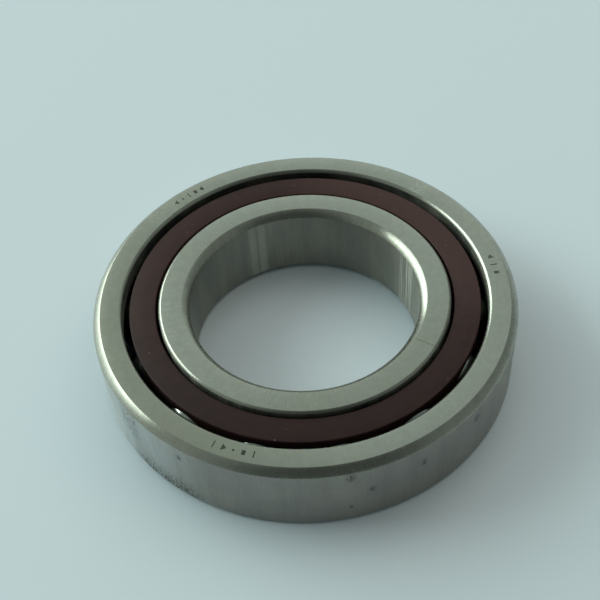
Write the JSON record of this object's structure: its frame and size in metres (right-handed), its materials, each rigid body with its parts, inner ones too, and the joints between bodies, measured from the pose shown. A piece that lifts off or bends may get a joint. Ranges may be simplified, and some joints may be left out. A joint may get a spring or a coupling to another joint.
{
  "type": "angular contact ball bearing",
  "caption": "Open single-row angular contact ball bearing: two ground steel rings, steel balls in a machined reddish-brown phenolic cage; carries radial load and thrust one way.",
  "frame": {"origin": "on the bearing's axis, in the plane of the outer ring's thin front face and of the inner ring's face beside it, on which the bearing lies", "axes": "+Z along the bearing's axis, from the outer ring's thin front face to its wide back face with the high thrust shoulder; +X and +Y are radial, and the first ball is 20.6 degrees from +X towards +Y"},
  "size_m": [0.11, 0.11, 0.022],
  "materials": {
    "ring_steel": "ground, fine satin, with an oil film",
    "ball_steel": "lapped mirror",
    "cage_phenolic": "machined cotton-phenolic laminate, dark red-brown, satin"
  },
  "bodies": {
    "outer_ring": {"outer_ring": "ring_steel"},
    "inner_ring": {"inner_ring": "ring_steel"},
    "cage": {"cage": "cage_phenolic"},
    "ball_01": {"ball_01": "ball_steel"},
    "ball_02": {"ball_02": "ball_steel"},
    "ball_03": {"ball_03": "ball_steel"},
    "ball_04": {"ball_04": "ball_steel"},
    "ball_05": {"ball_05": "ball_steel"},
    "ball_06": {"ball_06": "ball_steel"},
    "ball_07": {"ball_07": "ball_steel"},
    "ball_08": {"ball_08": "ball_steel"},
    "ball_09": {"ball_09": "ball_steel"},
    "ball_10": {"ball_10": "ball_steel"},
    "ball_11": {"ball_11": "ball_steel"},
    "ball_12": {"ball_12": "ball_steel"},
    "ball_13": {"ball_13": "ball_steel"},
    "ball_14": {"ball_14": "ball_steel"}
  },
  "joints": [
    {"name": "inner_ring_spin", "type": "hinge", "parent": "outer_ring", "child": "inner_ring", "pos_m": [0, 0, 0.011], "axis": [0, 0, 1], "continuous": true},
    {"name": "cage_spin", "type": "hinge", "parent": "outer_ring", "child": "cage", "pos_m": [0, 0, 0.011], "axis": [0, 0, 1], "continuous": true},
    {"name": "ball_01_spin", "type": "hinge", "parent": "cage", "child": "ball_01", "pos_m": [0.03978, 0.01495, 0.011], "axis": [-0.2423, -0.0911, 0.9659], "continuous": true},
    {"name": "ball_02_spin", "type": "hinge", "parent": "cage", "child": "ball_02", "pos_m": [0.02935, 0.03073, 0.011], "axis": [-0.1788, -0.1872, 0.9659], "continuous": true},
    {"name": "ball_03_spin", "type": "hinge", "parent": "cage", "child": "ball_03", "pos_m": [0.01311, 0.04043, 0.011], "axis": [-0.0799, -0.2462, 0.9659], "continuous": true},
    {"name": "ball_04_spin", "type": "hinge", "parent": "cage", "child": "ball_04", "pos_m": [-0.00573, 0.04211, 0.011], "axis": [0.0349, -0.2565, 0.9659], "continuous": true},
    {"name": "ball_05_spin", "type": "hinge", "parent": "cage", "child": "ball_05", "pos_m": [-0.02343, 0.03546, 0.011], "axis": [0.1427, -0.2159, 0.9659], "continuous": true},
    {"name": "ball_06_spin", "type": "hinge", "parent": "cage", "child": "ball_06", "pos_m": [-0.03649, 0.02178, 0.011], "axis": [0.2222, -0.1326, 0.9659], "continuous": true},
    {"name": "ball_07_spin", "type": "hinge", "parent": "cage", "child": "ball_07", "pos_m": [-0.04233, 0.00379, 0.011], "axis": [0.2578, -0.0231, 0.9659], "continuous": true},
    {"name": "ball_08_spin", "type": "hinge", "parent": "cage", "child": "ball_08", "pos_m": [-0.03978, -0.01495, 0.011], "axis": [0.2423, 0.0911, 0.9659], "continuous": true},
    {"name": "ball_09_spin", "type": "hinge", "parent": "cage", "child": "ball_09", "pos_m": [-0.02935, -0.03073, 0.011], "axis": [0.1788, 0.1872, 0.9659], "continuous": true},
    {"name": "ball_10_spin", "type": "hinge", "parent": "cage", "child": "ball_10", "pos_m": [-0.01311, -0.04043, 0.011], "axis": [0.0799, 0.2462, 0.9659], "continuous": true},
    {"name": "ball_11_spin", "type": "hinge", "parent": "cage", "child": "ball_11", "pos_m": [0.00573, -0.04211, 0.011], "axis": [-0.0349, 0.2565, 0.9659], "continuous": true},
    {"name": "ball_12_spin", "type": "hinge", "parent": "cage", "child": "ball_12", "pos_m": [0.02343, -0.03546, 0.011], "axis": [-0.1427, 0.2159, 0.9659], "continuous": true},
    {"name": "ball_13_spin", "type": "hinge", "parent": "cage", "child": "ball_13", "pos_m": [0.03649, -0.02178, 0.011], "axis": [-0.2222, 0.1326, 0.9659], "continuous": true},
    {"name": "ball_14_spin", "type": "hinge", "parent": "cage", "child": "ball_14", "pos_m": [0.04233, -0.00379, 0.011], "axis": [-0.2578, 0.0231, 0.9659], "continuous": true}
  ],
  "couplings": [
    {"joint": "cage_spin", "follows": "inner_ring_spin", "ratio": 0.4098},
    {"joint": "ball_01_spin", "follows": "inner_ring_spin", "ratio": -2.59},
    {"joint": "ball_02_spin", "follows": "inner_ring_spin", "ratio": -2.59},
    {"joint": "ball_03_spin", "follows": "inner_ring_spin", "ratio": -2.59},
    {"joint": "ball_04_spin", "follows": "inner_ring_spin", "ratio": -2.59},
    {"joint": "ball_05_spin", "follows": "inner_ring_spin", "ratio": -2.59},
    {"joint": "ball_06_spin", "follows": "inner_ring_spin", "ratio": -2.59},
    {"joint": "ball_07_spin", "follows": "inner_ring_spin", "ratio": -2.59},
    {"joint": "ball_08_spin", "follows": "inner_ring_spin", "ratio": -2.59},
    {"joint": "ball_09_spin", "follows": "inner_ring_spin", "ratio": -2.59},
    {"joint": "ball_10_spin", "follows": "inner_ring_spin", "ratio": -2.59},
    {"joint": "ball_11_spin", "follows": "inner_ring_spin", "ratio": -2.59},
    {"joint": "ball_12_spin", "follows": "inner_ring_spin", "ratio": -2.59},
    {"joint": "ball_13_spin", "follows": "inner_ring_spin", "ratio": -2.59},
    {"joint": "ball_14_spin", "follows": "inner_ring_spin", "ratio": -2.59}
  ]
}
